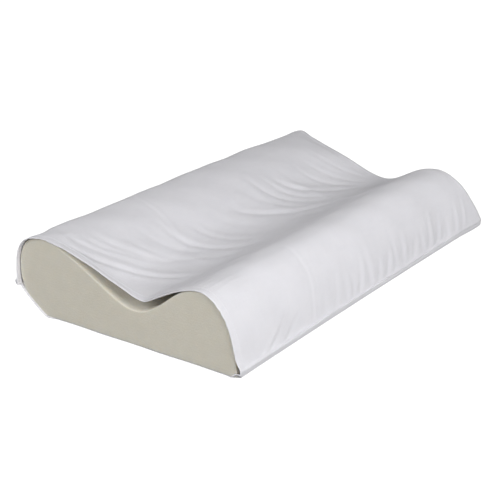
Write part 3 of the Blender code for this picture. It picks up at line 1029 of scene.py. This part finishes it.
def foam_material():
    """Cream polyurethane foam: open cells, mottled density and the faint marks of the saw."""
    material, shader, nodes, link = principled("cream_open_cell_foam", (0.68, 0.65, 0.56), 0.95)
    place = nodes.new("ShaderNodeTexCoord").outputs["Object"]
    cells = node(nodes, "ShaderNodeTexVoronoi", Scale=1100.0)
    link(place, cells.inputs["Vector"])
    pores = node(nodes, "ShaderNodeTexVoronoi", Scale=420.0)
    link(place, pores.inputs["Vector"])
    mottle = noise_of(nodes, link, place, 60.0, 5.0, 0.6)
    saw = wave_of(nodes, link, place, "Z", 0.0036, 2.5)
    mottle_tone = maths(nodes, link, "MULTIPLY", mottle, 0.75)
    saw_tone = maths(nodes, link, "MULTIPLY", saw, 0.08)
    pore_tone = maths(nodes, link, "MULTIPLY", pores.outputs["Distance"], 0.22)
    tone = maths(nodes, link, "ADD", mottle_tone, saw_tone)
    tone = maths(nodes, link, "ADD", tone, pore_tone)
    colour = ramp_of(nodes, link, tone, (0.700, 0.666, 0.572), (0.740, 0.706, 0.612))
    link(colour, shader.inputs["Base Color"])
    pore_depth = maths(nodes, link, "MULTIPLY", pores.outputs["Distance"], 1.4)
    saw_depth = maths(nodes, link, "MULTIPLY", saw, 0.05)
    height = maths(nodes, link, "ADD", cells.outputs["Distance"], pore_depth)
    height = maths(nodes, link, "ADD", height, saw_depth)
    link(bump(nodes, link, height, 0.0004, 0.35), shader.inputs["Normal"])
    shader.inputs["Specular IOR Level"].default_value = 0.15
    shader.inputs["Subsurface Weight"].default_value = 0.5
    shader.inputs["Subsurface Radius"].default_value = (1.0, 0.85, 0.65)
    shader.inputs["Subsurface Scale"].default_value = 0.010
    return material


def thread_material():
    """White spun sewing thread, with its twist."""
    material, shader, nodes, link = principled("white_sewing_thread", (0.86, 0.865, 0.885), 0.6)
    place = nodes.new("ShaderNodeTexCoord").outputs["Object"]
    twist = noise_of(nodes, link, place, 2600.0, 1.0)
    colour = ramp_of(nodes, link, twist, (0.80, 0.805, 0.83), (0.88, 0.885, 0.90))
    link(colour, shader.inputs["Base Color"])
    link(bump(nodes, link, twist, 0.0001, 0.4), shader.inputs["Normal"])
    shader.inputs["Sheen Weight"].default_value = 0.1
    return material


def label_material():
    """Blank white satin ribbon: smooth, with fine long floats and a slight gloss."""
    material, shader, nodes, link = principled("white_satin_ribbon", (0.85, 0.85, 0.85), 0.38)
    cloth = node(nodes, "ShaderNodeUVMap", uv_map="cloth").outputs["UV"]
    floats = noise_of(nodes, link, scaled(nodes, link, cloth, (120, 4000, 1)), 1.0, 2.0)
    colour = ramp_of(nodes, link, floats, (0.81, 0.81, 0.815), (0.87, 0.87, 0.87))
    link(colour, shader.inputs["Base Color"])
    link(bump(nodes, link, floats, 0.00008, 0.3), shader.inputs["Normal"])
    shader.inputs["Anisotropic"].default_value = 0.4
    return material


# ---------------------------------------------------------------- camera, light and floor
CAMERA_PLACE = Vector((-1.285, -0.887, 0.637))
CAMERA_AZIMUTH = math.radians(-54.6)
CAMERA_ELEVATION = math.radians(21.5)
CAMERA_LENS = 89.14


def make_camera():
    data = bpy.data.cameras.new("camera")
    data.lens = CAMERA_LENS
    data.sensor_width = 36
    camera = bpy.data.objects.new("camera", data)
    back = Vector((
        math.sin(CAMERA_AZIMUTH) * math.cos(CAMERA_ELEVATION),
        -math.cos(CAMERA_AZIMUTH) * math.cos(CAMERA_ELEVATION),
        math.sin(CAMERA_ELEVATION),
    ))
    camera.location = CAMERA_PLACE
    camera.rotation_mode = "QUATERNION"
    camera.rotation_quaternion = (-back).to_track_quat("-Z", "Y")
    bpy.context.scene.collection.objects.link(camera)
    bpy.context.scene.camera = camera


def area_light(name, place, size, power):
    data = bpy.data.lights.new(name, "AREA")
    data.shape = "DISK"
    data.size = size
    data.energy = power
    light = bpy.data.objects.new(name, data)
    light.location = place
    light.rotation_mode = "QUATERNION"
    light.rotation_quaternion = (LIGHT_AIM - light.location).to_track_quat("-Z", "Y")
    bpy.context.scene.collection.objects.link(light)


# Each light: its name, place, diameter in metres and power in watts.
LIGHTS = (
    ("key_light", (-0.55, -1.68, 0.86), 1.1, 28),
    ("fill_light", (-1.95, 0.22, 1.15), 1.3, 22),
    ("back_light", (0.5, 2.1, 0.35), 0.6, 9),
    ("end_light", (2.2, 0.4, 0.33), 0.6, 5),
)
AMBIENT = 0.16
LIGHT_AIM = Vector((0, 0, 0.05))


def make_world():
    """Weak even light from all sides, and a white backdrop behind the floor."""
    world = bpy.data.worlds.new("studio")
    world.use_nodes = True
    nodes, link = world.node_tree.nodes, world.node_tree.links.new
    ambient = nodes["Background"]
    ambient.inputs["Color"].default_value = (1, 1, 1, 1)
    ambient.inputs["Strength"].default_value = AMBIENT
    backdrop = nodes.new("ShaderNodeBackground")
    backdrop.inputs["Color"].default_value = (1, 1, 1, 1)
    path = nodes.new("ShaderNodeLightPath")
    chosen = nodes.new("ShaderNodeMixShader")
    link(path.outputs["Is Camera Ray"], chosen.inputs[0])
    link(ambient.outputs[0], chosen.inputs[1])
    link(backdrop.outputs[0], chosen.inputs[2])
    link(chosen.outputs[0], nodes["World Output"].inputs["Surface"])
    bpy.context.scene.world = world


FLOOR_SIZE = 14
FLOOR_DROP = 0.0003
FLOOR_GLOW = 0.72


def make_floor():
    bpy.ops.mesh.primitive_plane_add(size=FLOOR_SIZE, location=(0, 0, -FLOOR_DROP))
    floor = bpy.context.object
    floor.name = "floor"
    material, shader, _, _ = principled("pale_floor", (0.93, 0.93, 0.93), 1.0)
    shader.inputs["Specular IOR Level"].default_value = 0.0
    shader.inputs["Emission Color"].default_value = (1, 1, 1, 1)
    shader.inputs["Emission Strength"].default_value = FLOOR_GLOW
    floor.data.materials.append(material)
    floor.visible_diffuse = False


make_camera()
for light in LIGHTS:
    area_light(*light)
make_world()
make_floor()
bpy.context.scene.view_settings.view_transform = "Standard"

cotton = cotton_material()
thread = thread_material()

foam = make_foam()
foam.data.materials.append(foam_material())

top_cloth = pull_in_closed_end(top_grid(), "top")
under_cloth = pull_in_closed_end(under_grid(), "under")
under_cloth[:, 0] = top_cloth[:, 0]
under_cloth[:, -1] = top_cloth[:, -1]
end_cloth = end_grid(top_cloth, under_cloth)
top_cloth, end_cloth = settle(top_cloth, end_cloth, foam)
top_cloth = keep_off_foam(add_folds(top_cloth), cloth_gap)

top = cloth_piece("cover_top", with_hem(top_cloth, -1), cotton)
under = cloth_piece("cover_bottom", with_hem(with_back_lip(under_cloth), 1), cotton, flip=True)
end = cloth_piece("cover_closed_end", end_cloth, cotton)
label = cloth_piece("blank_label", label_grid(), label_material())
stitches = sew(top_cloth, under_cloth, thread)

# Each piece with the CAD node that it replaces, the body that it rides and its material slot.
placed = [
    (foam, "foam_core", "core", "foam"),
    (top, "cover_top_panel", "cover", "cotton"),
    (under, "cover_bottom_panel", "cover", "cotton"),
    (end, "cover_end_panel", "cover", "cotton"),
    *((piece, cad_thread, "cover", "thread") for cad_thread, piece in stitches.items()),
    (label, "care_label", "cover", "label"),
]
for piece, cad_node, body, slot in placed:
    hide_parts(cad_node)
    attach(piece, body)
